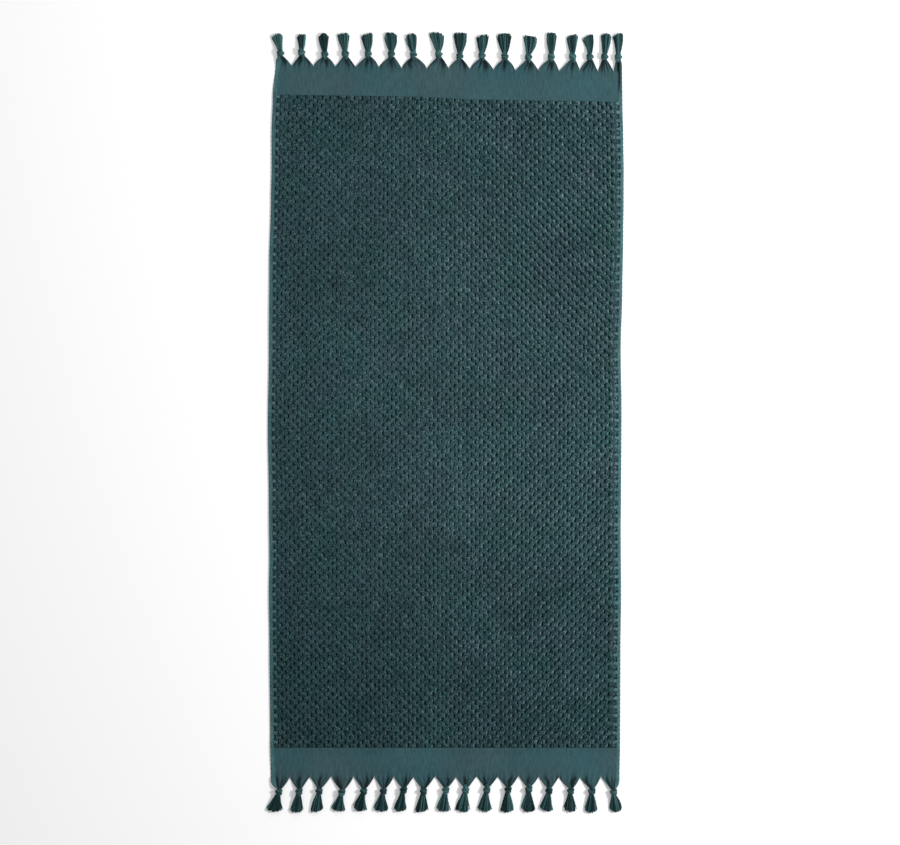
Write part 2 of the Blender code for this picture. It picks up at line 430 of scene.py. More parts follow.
def gather(half):
    """Top and bottom points of the gathers beyond one root, from the root outwards to the necks, with
    their crease values, a painted shade in the creases, along the gathers' outer edges and towards the
    necks, as rows by gathers by columns."""
    end = 1 if half == "head" else -1
    necks = gather_tops(half)[:, None]
    share = np.linspace(-1, 1, GATHER_COLUMNS + 1)
    out = np.linspace(0, 1, GATHER_ROWS + 1)[1:, None, None]
    pleat = pleats(half, out[:, 0])
    lateness = side_lateness(half, share)
    x, y, middle, half_thick = drawn_in(half, column_places(half), necks, share, out, lateness)
    y = y - end * valleys(half) * (1 - out) ** 3
    ridge = PLEAT_HEIGHT * pleat * (1 + 0.2 * smooth(out / 0.6))
    ridge = ridge * np.where(abs(share) > 0.97, 0.0, 1.0)
    top, bottom = two_faces(x, y, middle + half_thick + ridge, middle - half_thick)
    # Painted shade at the gathers' outer edges and towards the necks, on top of the creases
    at_edge = smooth((abs(share) - 0.84) / 0.13)
    crease = np.maximum(1 - pleat, 0.75 * at_edge)
    crease = np.maximum(crease * (1 + 0.15 * out), 0.34 * smooth(out / 0.8))
    if half == "head":
        crease = np.maximum(crease, long_crease(column_places(half), ROOT_Y) * (1 - out))
    return top, bottom, np.broadcast_to(crease, x.shape)


def point_numbers(kept, half_rows):
    """The numbers of the points in each row. Between the roots, neighbouring gathers share the points on
    their border. Beyond a root each gather has its own, so there is an open cut between them."""
    gathers = len(tassel_names("head"))
    shared = np.arange(gathers)[:, None] * GATHER_COLUMNS + np.arange(GATHER_COLUMNS + 1)
    own = np.arange(gathers * (GATHER_COLUMNS + 1)).reshape(gathers, -1)
    numbers = []
    start = 0
    for pattern in [own] * half_rows + [shared] * kept + [own] * half_rows:
        numbers.append(pattern + start)
        start += pattern.max() + 1
    return np.array(numbers), start


def woven_cloth(finish):
    """The whole woven cloth as one closed body: the foot's gathers, the flat foot band, the ground under
    the pile, the head band and the head's gathers."""
    middle = cloth_between_roots()
    parts = [[a[::-1] for a in gather("foot")], middle, gather("head")]
    top, bottom, crease = (np.concatenate(columns) for columns in zip(*parts))
    ids, count = point_numbers(len(middle[0]), GATHER_ROWS)
    points = np.zeros((2 * count, 3))
    points[ids.ravel()] = top.reshape(-1, 3)
    points[ids.ravel() + count] = bottom.reshape(-1, 3)
    crease_shades = np.zeros(2 * count)
    crease_shades[ids.ravel()] = crease.ravel()
    crease_shades[ids.ravel() + count] = crease.ravel()
    first_root = GATHER_ROWS
    last_root = GATHER_ROWS + len(middle[0]) - 1
    faces = []
    for g in range(ids.shape[1]):
        columns = ids[:, g]
        faces += [quads(columns), quads(columns + count)[:, ::-1]]
        cuts = [columns[: first_root + 1], columns[last_root:]]
        for cut in cuts:
            faces.append(quads(np.stack([cut[:, -1] + count, cut[:, -1]])))
            faces.append(quads(np.stack([cut[::-1, 0] + count, cut[::-1, 0]])))
        for row, step in ((0, 1), (-1, -1)):
            edge = columns[row, ::step]
            faces.append(quads(np.stack([edge + count, edge])))
    between = slice(first_root, last_root + 1)
    right = ids[between, -1, -1]
    left = ids[between, 0, 0][::-1]
    for edge in (right, left):
        faces.append(quads(np.stack([edge + count, edge])))
    obj = mesh_object("woven_cloth", points, np.concatenate(faces), finish, {"crease": crease_shades})
    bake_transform(obj)
    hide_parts("end_band_foot", "end_band_head")
    return obj


# The selvedges


def selvedge_end(half, side, x):
    """The rest of a selvedge beyond one root, where it is drawn in with the outermost gather: x, y, the
    height of its middle and half its thickness, from the root outwards."""
    sign = 1 if side == "right" else -1
    gather_number = -1 if side == "right" else 0
    inner = abs(gather_edges(half)[-2 if side == "right" else 1])
    share = sign * (2 * (abs(x) - inner) / (HALF_WIDTH - inner) - 1)
    out = np.linspace(0, 0.94, 16)[1:, None]
    neck = gather_tops(half)[gather_number]
    lateness = side_lateness(half, share)[gather_number]
    return drawn_in(half, x, neck, share, out, lateness)


def selvedge(side, finish):
    """The firm woven edge down one long side, with a slightly scalloped rim. Both its ends are drawn in
    with the outermost gathers."""
    sign = 1 if side == "right" else -1
    y = np.linspace(-ROOT_Y, ROOT_Y, 709)[:, None]
    across = np.linspace(0, 1, 9)[None, :]
    rim = HALF_WIDTH + SCALLOP * np.sin(2 * math.pi * y / ROW_PITCH)
    inner = HALF_WIDTH - SELVEDGE_REACH
    x = sign * (inner + (rim - inner) * across)
    x = x if sign > 0 else x[:, ::-1]
    round_off = np.sqrt(np.clip(1 - (2 * across - 1) ** 4, 0.02, 1))
    round_off = round_off if sign > 0 else round_off[:, ::-1]
    y = np.broadcast_to(y, x.shape)
    foot = selvedge_end("foot", side, x[:1])
    head = selvedge_end("head", side, x[-1:])
    middle = (*lie(x, y), np.zeros(x.shape))
    px, py, pz, more = (np.concatenate([f[::-1], m, h]) for f, m, h in zip(foot, middle, head))
    wefts = 0.0001 * np.sin(2 * math.pi * py / (ROW_PITCH / 2))
    half_thick = SELVEDGE_HALF_THICKNESS * round_off + wefts + more
    to_root = np.concatenate([np.zeros(len(foot[0])), ROOT_Y - abs(y[:, 0]), np.zeros(len(head[0]))])
    rise = SELVEDGE_RISE * np.exp(-to_root / PLEAT_FADE)[:, None]
    high = pz + half_thick + rise * round_off - SELVEDGE_DENT * long_crease(px, py)
    points, faces = closed_sheet(*two_faces(px, py, high, pz - half_thick))
    inside = across if sign < 0 else 1 - across
    # Painted shade in the long crease and along the inner side beside the pile; the yarns at the rim are
    # lighter
    shade = long_crease(px, py) + 0.42 * inside ** 1.5 - RIM_LIGHT[side] * (1 - inside)
    crease = np.tile(shade.ravel(), 2)
    obj = mesh_object(f"selvedge_{side}", points, faces, finish, {"crease": crease})
    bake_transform(obj)
    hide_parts(f"selvedge_{side}_foot", f"selvedge_{side}_head")
    return obj


# The terry pile


def lattice_numbers(i, j, face):
    """Random numbers from 0 to 1 that belong to one place of the brick pattern, as a (..., 6) array."""
    table = np.random.default_rng(31 + face).uniform(0, 1, (256, 256, 6))
    return table[i % 256, j % 256]


def lean(x, y):
    """Which way the open slots and the deeper seams slant, from -1, rising to the right, to 1, falling."""
    right = smooth((x + 0.12) / 0.35)
    by_height = np.clip(3.0 * y, -0.55, 0.8) * (1 - 0.7 * smooth((y - 0.40) / 0.2))
    return right * by_height + (1 - right) * 0.4 * smooth(-y / 0.4)


def painted_falloff_shade(x, y):
    """Painted shade: how much darker the pile is painted towards the foot end, and a little towards the
    head end and the left side, standing in for the key light's falloff over the towel."""
    foot = 0.30 * smooth((-y - 0.05) / 0.60)
    head = 0.10 * smooth((y - 0.15) / 0.45)
    left = 0.10 * smooth(-x / 0.30)
    return foot + head + left


def slots(x, y, face):
    """How deep a point lies in the open slot between two neighbouring tufts of a row, from 0 to 1, and how
    near it is to the raised loops along the left of a slot, where a painted highlight also goes."""
    row_here = np.floor((y + FIELD_END) / ROW_PITCH).astype(int)
    depth = np.zeros(x.shape)
    upright_and_highlight = np.zeros(x.shape)
    opened = smooth(np.maximum((x + 0.25) / 0.5, (-y - 0.30) / 0.25))
    for row_step in (-1, 0, 1):
        row = row_here + row_step
        shift = 0.5 * (row % 2) + 0.5
        column = np.round(x / TUFT_PITCH - shift).astype(int)
        r = lattice_numbers(row, column, face)
        at_border = (row == 0) | (row == ROWS - 1)
        half_length = SLOT_HALF_LENGTH * (0.80 + 0.32 * r[..., 0]) * np.where(at_border, 1.35, 1)
        half_width = SLOT_HALF_WIDTH * (0.82 + 0.36 * r[..., 1]) * (0.78 + 0.24 * opened)
        dx = x - (column + shift + 0.04 * (r[..., 2] - 0.5)) * TUFT_PITCH
        dy = y - (row + 0.5 + 0.12 * (r[..., 3] - 0.5)) * ROW_PITCH + FIELD_END
        dx = dx + (0.20 * (r[..., 4] - 0.5) + 0.24 * lean(x, y)) * dy
        inside = 1.2 - np.hypot(dx / half_width, dy / half_length)
        depth_here = (0.62 + 0.38 * r[..., 5]) * smooth(inside / 0.75)
        there = (row >= 0) & (row < ROWS)
        depth = np.maximum(depth, np.where(there, depth_here, 0))
        beside = np.exp(-(((dx + 2.0 * half_width) / (1.15 * half_width)) ** 2) - (dy / half_length) ** 2)
        upright_and_highlight = np.maximum(upright_and_highlight, np.where(there, beside * (0.45 + 0.55 * r[..., 3]), 0))
    # The raised loops and their painted highlight grow stronger towards the right, standing in for the key
    # light being nearer there.
    return depth, upright_and_highlight * (0.20 + 0.88 * smooth((x + 0.35) / 0.55))


def tufts(x, y, lean_here, groove, face):
    """The rounding of the tufts: 1 on a tuft and less in the groove to the next row, the squared distance
    from the tuft's middle, and the tuft's random numbers. The middles of the tufts lie where two sets of
    slanting lines cross, which a and b count."""
    rows_up = (y + FIELD_END) / ROW_PITCH - 0.5
    a = x / TUFT_PITCH + rows_up / 2
    b = x / TUFT_PITCH - rows_up / 2
    i = np.round(a).astype(int)
    j = np.round(b).astype(int)
    falling = (2 * abs(a - i)) ** 3.0 * (1 + 0.65 * lean_here)
    rising = (2 * abs(b - j)) ** 3.0 * (1 - 0.65 * lean_here)
    crown = 1 - np.minimum(groove * np.maximum(falling, rising), 1)
    dome = 4 * ((a - i) ** 2 + (b - j) ** 2)
    return crown, dome, lattice_numbers(i, j, face + 4)


def within_rows(x, y):
    """1 where a row's tufts reach, and 0 past the row's ends. Long and short rows take turns."""
    row = np.floor((y + FIELD_END) / ROW_PITCH).astype(int)
    row_end = np.where(x < 0, np.array(LEFT_ROW_ENDS)[row % 2], np.array(RIGHT_ROW_ENDS)[row % 2])
    return smooth((row_end - abs(x)) / 0.0025) * smooth((FIELD_END - abs(y)) / 0.0022)


def pile_surface(x, y, face):
    """The height of the pile above the middle of the cloth, how closed the pile is over each point, which
    sets the painted shade in the slots, and how light its yarn looks, from -1 to 1: its own random tone,
    with painted shade in the seams between tufts, towards the ends and the left and past the row ends, and
    a painted highlight beside each slot."""
    bent_x = x + 0.0005 * soft_noise(x, y, 0.0065, 51 + face)
    bent_y = y + 0.0005 * soft_noise(x, y, 0.0065, 53 + face)
    pit, upright_and_highlight = slots(bent_x, bent_y, face)
    groove = 0.46 * (0.70 + 0.80 * smooth((x + 0.10) / 0.35))
    crown, dome, tuft = tufts(bent_x, bent_y, lean(x, y), groove, face)
    loops = soft_noise(x, y, 0.0019, 41 + face) + 0.25 * soft_noise(x, y, 0.0043, 43 + face)
    body = np.clip(1 - pit, 0, 1)
    height = TUFT_HEIGHT * (0.93 + 0.07 * tuft[..., 0]) - SEAM_DEPTH * (1 - crown) - DOME_HEIGHT * dome
    height = height + LOOP_HEIGHT * loops + UPRIGHT_HEIGHT * upright_and_highlight
    height = PIT_HEIGHT + (height - PIT_HEIGHT) * body
    # Painted shade in the seams between tufts, a painted highlight beside each slot, painted shade towards
    # the foot, head and left, and a painted shadow past the row ends, on the yarn's random tone
    light = 0.12 * (2 * tuft[..., 1] - 1) + 0.34 * loops - 0.75 * (1 - crown) + 1.75 * upright_and_highlight
    light = light - 0.02 - painted_falloff_shade(x, y) - 0.60 * smooth((abs(x) - EDGE_SHADOW_START) / 0.0020)
    flat = floats(x, y)
    light = light * (1 - flat) + np.where(x < 0, *FLOAT_LIGHTS) * flat
    return np.maximum(height * within_rows(x, y), FLOAT_HEIGHT * flat), np.maximum(body, flat), light


def floats(x, y):
    """1 on the flat yarns that lie between the end of each short row and the selvedge's rim."""
    rows = (y + FIELD_END) / ROW_PITCH
    short = np.floor(rows) % 2
    in_row = np.exp(-(((rows - np.floor(rows) - 0.5) / 0.40) ** 2))
    start = np.where(x < 0, LEFT_ROW_ENDS[1], RIGHT_ROW_ENDS[1]) + 0.0006
    past_end = smooth((abs(x) - start) / 0.0015) * smooth((RIGHT_ROW_ENDS[0] - abs(x)) / 0.0015)
    return short * in_row * past_end * (abs(y) < FIELD_END)


def chunk_rows():
    """The first and last row of each stretch of pile. A stretch ends in the groove between two rows."""
    starts = range(0, ROWS, ROWS_PER_CHUNK)
    return [(start, min(start + ROWS_PER_CHUNK, ROWS)) for start in starts]


def pile_chunk(number, first, last, finish):
    """One stretch of the pile on both faces of the cloth, as a closed body."""
    low = first * ROW_PITCH - FIELD_END
    high = last * ROW_PITCH - FIELD_END
    steps = int(round((high - low) / PILE_STEP_ALONG))
    side = RIGHT_ROW_ENDS[0] + 0.0006
    columns = int(round(2 * side / PILE_STEP_ACROSS))
    x, y = np.meshgrid(np.linspace(-side, side, columns + 1), np.linspace(low, high, steps + 1))
    px, py, pz = lie(x, y)
    front, front_slot_shade, front_tone_and_light = pile_surface(x, y, 0)
    back, back_slot_shade, back_tone_and_light = pile_surface(x, y, 1)
    points, faces = closed_sheet(*two_faces(px, py, pz + front + OVER_CLOTH, pz - back))
    values = {
        "slot_shade": np.concatenate([front_slot_shade.ravel(), back_slot_shade.ravel()]),
        "yarn_tone_and_painted_light": np.concatenate([front_tone_and_light.ravel(), back_tone_and_light.ravel()]),
    }
    obj = mesh_object(f"terry_pile_{number:02d}", points, faces, finish, values)
    sharpen_rim(obj.data, *x.shape)
    below = high <= FOLD_Y - FOLD_REACH
    above = low >= FOLD_Y + FOLD_REACH
    if below or above:
        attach(obj, "foot_half" if below else "head_half")
    else:
        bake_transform(obj)
    if low < FOLD_Y:
        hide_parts("terry_field_foot")
    if high > FOLD_Y:
        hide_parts("terry_field_head")
    return obj


# The tassels

YARN_SIDES = 8
KNOT_STRANDS = 11
KNOT_STEPS = 56
KNOT_YARN_RADIUS = 0.00128
KNOT_YARN_TURNS = 5.0  # how often the two plies of a yarn wind round each other
BRUSH_YARNS = 54
BRUSH_STRAYS = 4
BRUSH_STEPS = 17
BRUSH_YARN_RADIUS = 0.00078
BRUSH_YARN_TURNS = 2.3
BRUSH_START = 0.0042  # a brush's yarns start this far past the middle of the knot, inside it
BRUSH_NECK = 0.0034  # half the width of a brush where it starts
CLUMPING = 0.24  # how far a yarn is drawn to the middle of its clump

# How far the middle of each knot lies past the point that its tassel swings about
KNOTS = {
    "head": (
        0.0015, 0.0035, 0.0015, 0.0030, 0.0040, 0.0045, 0.0040, 0.0050, 0.0025, 0.0040, 0.0030, 0.0030,
        0.0050, 0.0055, 0.0060, 0.0065, 0.0070,
    ),
    "foot": (
        0.0075, 0.0075, 0.0060, 0.0085, 0.0060, 0.0065, 0.0045, 0.0060, 0.0045, 0.0045, 0.0040, 0.0035,
        0.0030, 0.0055, 0.0060, 0.0065, 0.0080,
    ),
}

# How far the tip of each brush lies to +X of its tassel's own line
LEANS = {
    "head": (
        0.000, 0.003, 0.000, 0.000, 0.002, 0.002, 0.000, 0.003, 0.004, 0.000, 0.002, 0.007, 0.000, 0.002,
        0.004, 0.001, 0.005,
    ),
    "foot": (
        -0.004, 0.001, 0.000, 0.000, -0.002, 0.000, 0.000, 0.002, -0.0006, 0.0016, 0.002, 0.005, 0.000,
        0.000, 0.004, 0.001, 0.002,
    ),
}

# How far short of the common line each brush of the head end is cut
HEAD_TRIMS = (
    0.000, 0.002, 0.000, 0.000, 0.000, 0.000, 0.000, 0.000, 0.000, 0.002, 0.001, 0.006, 0.000, 0.003,
    0.003, 0.002, 0.000,
)

# How each brush ends: how much further out its right corner reaches than its left one, and how far its
# left corner is drawn out sideways
ENDS = {
    "head": (
        (0.006, 0.006), (0.002, 0.000), (0.005, 0.001), (0.003, 0.002), (0.006, 0.000), (0.000, 0.001),
        (0.006, 0.000), (0.000, 0.001), (0.001, 0.001), (0.006, 0.001), (0.002, 0.002), (-0.001, 0.001),
        (0.000, 0.000), (0.005, 0.001), (0.005, 0.006), (0.000, 0.002), (0.004, 0.003),
    ),
    "foot": (
        (0.003, 0.003), (0.001, 0.001), (-0.002, 0.001), (0.006, 0.003), (0.006, 0.006), (0.004, 0.004),
        (0.003, 0.001), (-0.003, 0.001), (0.003, 0.003), (0.004, 0.002), (0.005, 0.003), (0.000, 0.001),
        (0.003, 0.002), (0.006, 0.000), (0.004, 0.001), (0.000, 0.001), (-0.002, 0.000),
    ),
}

# The brushes of the head end spread early, like a tied sheaf, and the foot's more evenly
BELLS = {"head": (1.7, 2.1), "foot": (1.1, 1.6)}
ROUNDINGS = {"head": (0.0002, 0.0030), "foot": (0.0015, 0.0050)}
NARROWINGS = {"head": 0.93, "foot": 1.0}
BRUSH_DARKNESS = {"head": 0.10, "foot": 0.28}
KNOT_DARKNESS = {"head": 0.00, "foot": 0.40}


@dataclass
class BrushShape:
    """The shape of one brush, in its tassel's own axes: Y outwards from the neck and X to the side."""

    start: float  # where its yarns start, inside the knot
    length: float  # where the line of the cut ends crosses its middle
    flare: float  # the width of the cut end
    tilt: float  # how much further out a yarn ends for each metre that it lies towards +X
    further: float  # how much further out its corner at +X reaches than the other
    drawn: float  # how far its other corner is drawn out sideways
    aside: float  # how far its tip lies towards +X
    bell: float  # 1 for a brush that spreads evenly, and more for one that spreads early
    rounding: tuple  # the least and the most that the corners of the cut end are rounded off


def tubes(paths, radii, across):
    """Points and faces of closed tubes along many paths of one length. paths is tubes by steps by 3,
    radii is tubes by steps by sides, and across is a vector to the side of each path."""
    count, steps = paths.shape[:2]
    sides = radii.shape[2]
    along = np.gradient(paths, axis=1)
    along /= np.linalg.norm(along, axis=2, keepdims=True)
    side = across - along * (across * along).sum(2, keepdims=True)
    side /= np.linalg.norm(side, axis=2, keepdims=True)
    up = np.cross(along, side)
    angle = 2 * math.pi * np.arange(sides) / sides
    ring = side[:, :, None] * np.cos(angle)[:, None] + up[:, :, None] * np.sin(angle)[:, None]
    points = paths[:, :, None] + ring * radii[..., None]
    ids = np.arange(count * steps * sides).reshape(count, steps, sides)
    wrapped = np.concatenate([ids, ids[:, :, :1]], axis=2)
    faces = [quads(tube)[:, ::-1] for tube in wrapped]
    return points.reshape(-1, 3), np.concatenate(faces), ids


def end_caps(ids, start):
    """Faces that close both ends of each tube, as strips across its ring. sides is even."""
    faces = []
    sides = ids.shape[2]
    for tube in ids:
        for ring, flip in ((tube[0], False), (tube[-1], True)):
            for k in range(sides // 2 - 1):
                face = [ring[k], ring[k + 1], ring[sides - 2 - k], ring[sides - 1 - k]]
                faces.append(face[::-1] if flip else face)
    return np.array(faces) + start


def carried_frames(path):
    """A vector to the side of a path at each step, turned as little as it can be from one to the next."""
    along = np.gradient(path, axis=0)
    along /= np.linalg.norm(along, axis=1, keepdims=True)
    side = np.array([1.0, 0.0, 0.0])
    sides = []
    for direction in along:
        side = side - direction * side.dot(direction)
        side /= np.linalg.norm(side)
        sides.append(side)
    return along, np.array(sides)


def knot_path(centre, mirror, roll):
    """The middle line of the bundle of yarns through one overhand knot, from the neck outwards: in, once
    and a half round itself, and out."""
    s = np.linspace(-1, 1, KNOT_STEPS)
    winding = np.clip(s / 0.74, -1, 1)
    angle = roll + mirror * 1.5 * math.pi * winding
    reach = smooth((1 - abs(s)) / 0.30)
    x = 3.8 * MM * np.cos(angle) * reach
    z = 5.8 * MM + 2.5 * MM * np.sin(angle) * reach - 1.4 * MM * (1 - reach)
    y = centre + 3.6 * MM * winding + 4.6 * MM * np.sign(s) * smooth((abs(s) - 0.58) / 0.42)
    return np.stack([x, y, z], axis=1)


def knot(rng, centre, mirror):
    """The strands of the knot: their paths, and vectors to their sides."""
    path = knot_path(centre, mirror, rng.uniform(-1.0, 1.0))
    along, side = carried_frames(path)
    up = np.cross(along, side)
    turn = np.linspace(0, 2.2 * math.pi, len(path))
    paths = []
    for k in range(KNOT_STRANDS):
        inner = k >= KNOT_STRANDS - 2
        out = (0.0008 if inner else 0.0026) * rng.uniform(0.92, 1.08)
        angle = turn + 2 * math.pi * k / (2 if inner else KNOT_STRANDS - 2) + rng.uniform(-0.15, 0.15)
        paths.append(path + out * (side * np.cos(angle)[:, None] + up * np.sin(angle)[:, None]))
    return np.array(paths), np.broadcast_to(side, (KNOT_STRANDS, *side.shape))


def yarn_radii(count, steps, radius, rng, turns):
    """Radii of plied yarns: two lobes that wind round each other, and a little unevenness."""
    angle = 2 * math.pi * np.arange(YARN_SIDES) / YARN_SIDES
    s = np.linspace(0, 1, steps)
    phase = rng.uniform(0, 2 * math.pi, count)[:, None, None]
    wind = 2 * (angle - 2 * math.pi * turns * s[:, None])
    lobes = 1 + 0.20 * np.cos(wind + phase)
    uneven = 1 + 0.10 * rng.uniform(-1, 1, (count, steps, 1))
    return radius * lobes * uneven


def tassel_shape(name):
    """A tassel's neck, the direction it points in, and the width of its cut end, from its CAD solid."""
    neck = neck_of(name)
    vertices = frame["nodes"][name].data.vertices
    points = np.array([v.co for v in vertices])[:, :2] - neck[:2]
    axis = points.mean(0) / np.linalg.norm(points.mean(0))
    for _ in range(4):
        along = points @ axis
        end = points[along > along.max() - 0.0006]
        middle = (end.max(0) + end.min(0)) / 2
        axis = middle / np.linalg.norm(middle)
    across = np.array([axis[1], -axis[0]])
    return neck, axis, np.ptp(end @ across)


def clumps(rng, lane):
    """The clump of yarns that each lane of a brush belongs to: its middle lane, and random numbers from -1
    to 1 for its length, height and shade."""
    count = rng.integers(6, 9)
    borders = np.linspace(-1, 1, count + 1)
    borders[1:-1] += rng.uniform(-0.08, 0.08, count - 1)
    which = np.clip(np.searchsorted(borders, lane) - 1, 0, count - 1)
    middle = (borders[1:] + borders[:-1]) / 2
    return middle[which], rng.uniform(-1, 1, (count, 3))[which]


def brush_lanes(rng):
    """Where each yarn of a brush lies across it, from -1 to 1, in which layer, from 0 to 1, and which yarns
    are strays."""
    count = BRUSH_YARNS + BRUSH_STRAYS
    stray = np.arange(count) >= BRUSH_YARNS
    lane = (np.arange(count) + 0.5) / BRUSH_YARNS * 2 - 1
    lane = np.where(stray, rng.choice([-1.0, -0.9, 0.9, 1.0], count), lane)
    lane = np.clip(lane + rng.uniform(-0.04, 0.04, count), -1, 1)
    layer = (np.arange(count) * 3 % 7) / 6 + rng.uniform(-0.08, 0.08, count)
    return lane, layer, stray


def cut_places(rng, shape, lane, stray, x, clump_length):
    """How far out each yarn of a brush is cut."""
    y = shape.length + shape.tilt * x - rng.uniform(*shape.rounding) * lane ** 2 + 0.0011 * clump_length
    y = y - abs(shape.further) * (1 - lane * np.sign(shape.further)) / 2
    y = y + rng.uniform(-0.0022, 0.0002, len(lane))
    return y - np.where(stray, rng.uniform(0, 0.004, len(lane)), 0)


def waves(rng, count, s):
    """How far each of count yarns wanders from its line, growing towards its tip."""
    phase = rng.uniform(0, 2 * math.pi, (count, 1))
    size = rng.uniform(0.0002, 0.0007, (count, 1))
    return size * np.sin(phase + s * rng.uniform(3, 9, (count, 1))) * s


def brush(rng, shape):
    """The yarns of the brush beyond the knot: their paths, from inside the knot to the cut ends, and their
    shades."""
    lane, layer, stray = brush_lanes(rng)
    count = len(lane)
    middle, clump = clumps(rng, lane)
    round_off = np.sqrt(np.maximum(0.03, 1 - lane ** 2))
    x0 = lane * BRUSH_NECK
    z0 = 0.0050 + 0.0030 * (2 * layer - 1) * round_off
    gathered = lane + CLUMPING * (middle - lane) * (layer > 0.3)
    x1 = gathered * (shape.flare / 2 - 0.25 * shape.drawn) + shape.aside
    z1 = 0.0009 + 0.0062 * np.clip(layer + 0.15 * clump[:, 1], 0, 1) * (0.30 + 0.70 * round_off)
    corner = -shape.drawn * np.clip(-lane, 0, 1) ** 3
    corner = corner + np.where(stray, np.sign(lane) * rng.uniform(0.0005, 0.0035, count), 0)
    y1 = cut_places(rng, shape, lane, stray, x1 + corner, clump[:, 0])
    barrel = rng.uniform(0.0, 0.20) * (shape.bell - 1) * (1 - shape.drawn / 0.006)
    s = np.linspace(0, 1, BRUSH_STEPS)
    spread = (1 - (1 - s) ** shape.bell) + barrel * np.sin(math.pi * s) ** 1.5
    wave = waves(rng, count, s)
    x = x0[:, None] + (x1 - x0)[:, None] * spread + corner[:, None] * s ** 2.4 + wave
    y = shape.start + (y1 - shape.start)[:, None] * s
    z = z0[:, None] + (z1 - z0)[:, None] * smooth(s * 1.1) + 0.4 * wave
    shade = 0.70 * np.sign(clump[:, 2]) * abs(clump[:, 2]) ** 0.5 + 0.60 * rng.uniform(-1, 1, count)
    return np.stack([x, y, np.maximum(z, 0.0009)], axis=2), shade


def brush_shape(half, place, neck, axis, across, flare, bell):
    """The shape of one brush, from its tables and from how its tassel lies. The tables count left and
    right along the towel, and a foot tassel's own side vector points the other way."""
    further, drawn = ENDS[half][place]
    trim = HEAD_TRIMS[place] if half == "head" else 0.0
    turned = np.sign(across[0])
    return BrushShape(
        start=KNOTS[half][place] + BRUSH_START,
        length=(TIP_Y - trim - abs(neck[1])) / abs(axis[1]),
        flare=flare * NARROWINGS[half],
        tilt=-across[1] / axis[1],
        further=further * turned,
        drawn=drawn,
        aside=LEANS[half][place] * turned,
        bell=bell,
        rounding=ROUNDINGS[half],
    )


def yarn_bodies(bundles):
    """The points, faces and shades of all the yarns in several bundles, each with its paths, radii, vectors
    to the side and shades."""
    points = []
    faces = []
    shades = []
    start = 0
    for paths, radii, sides, shade in bundles:
        p, f, ids = tubes(paths, radii, sides)
        points.append(p)
        faces += [f + start, end_caps(ids, start)]
        shades.append(np.repeat(shade, paths.shape[1] * YARN_SIDES))
        start += len(p)
    return np.concatenate(points), np.concatenate(faces), np.concatenate(shades)


def tassel(name, number, finish):
    """One tassel: the overhand knot and the brush of cut yarns beyond it."""
    rng = np.random.default_rng(100 + number)
    half = "head" if "_head_" in name else "foot"
    place = int(name[-2:]) - 1
    neck, axis, flare = tassel_shape(name)
    across = np.array([axis[1], -axis[0]])
    mirror = 1 if rng.uniform() < 0.5 else -1
    shape = brush_shape(half, place, neck, axis, across, flare, rng.uniform(*BELLS[half]))
    knot_paths, knot_sides = knot(rng, KNOTS[half][place], mirror)
    brush_paths, brush_shades = brush(rng, shape)
    brush_shades = brush_shades - BRUSH_DARKNESS[half]
    knot_shades = rng.uniform(0.0, 0.7) - KNOT_DARKNESS[half]
    knot_shades = knot_shades + rng.uniform(-0.6, 0.6, KNOT_STRANDS)
    knot_radii = yarn_radii(KNOT_STRANDS, KNOT_STEPS, KNOT_YARN_RADIUS, rng, KNOT_YARN_TURNS)
    brush_radii = yarn_radii(len(brush_paths), BRUSH_STEPS, BRUSH_YARN_RADIUS, rng, BRUSH_YARN_TURNS)
    brush_radii[:, -2] *= 0.92
    brush_radii[:, -1] *= 0.45
    brush_sides = np.broadcast_to(np.array([1.0, 0.0, 0.0]), brush_paths.shape)
    local, faces, shades = yarn_bodies((
        (knot_paths, knot_radii, knot_sides, knot_shades),
        (brush_paths, brush_radii, brush_sides, brush_shades),
    ))
    x = neck[0] + local[:, 0] * across[0] + local[:, 1] * axis[0]
    y = neck[1] + local[:, 0] * across[1] + local[:, 1] * axis[1]
    placed = np.stack([x, y, np.maximum(local[:, 2], 0.0001)], axis=1)
    obj = mesh_object(f"knotted_{name}", placed, faces, finish, {"yarn_shade": shades})
    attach(obj, name)
    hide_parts(name)
    return obj


# The materials


def new_material(name, roughness, sheen):
    """A matt cotton material, its node tree and its shader."""
    made = bpy.data.materials.new(name)
    made.use_nodes = True
    shader = made.node_tree.nodes["Principled BSDF"]
    shader.inputs["Roughness"].default_value = roughness
    shader.inputs["Sheen Weight"].default_value = sheen
    shader.inputs["Sheen Roughness"].default_value = 0.5
    shader.inputs["Sheen Tint"].default_value = (0.35, 0.62, 0.66, 1.0)
    shader.inputs["Specular IOR Level"].default_value = 0.12
    return made, made.node_tree, shader


def node(tree, kind, inputs, **settings):
    """A new shader node. A socket among its inputs is linked, and any other value is set."""
    made = tree.nodes.new(f"ShaderNode{kind}")
    for key, value in settings.items():
        setattr(made, key, value)
    for key, value in inputs.items():
        if isinstance(value, bpy.types.NodeSocket):
            tree.links.new(value, made.inputs[key])
        else:
            made.inputs[key].default_value = value
    return made


def attribute(tree, name):
    return node(tree, "Attribute", {}, attribute_name=name).outputs["Fac"]


def place_in(tree):
    return node(tree, "TexCoord", {}).outputs["Object"]


def noise(tree, scale, detail, finer=(1, 1, 1)):
    """Noise in object coordinates. finer says how many times finer it is along each axis."""
    place = node(tree, "Mapping", {"Vector": place_in(tree), "Scale": finer}).outputs["Vector"]
    return node(tree, "TexNoise", {"Vector": place, "Scale": scale, "Detail": detail}).outputs["Fac"]


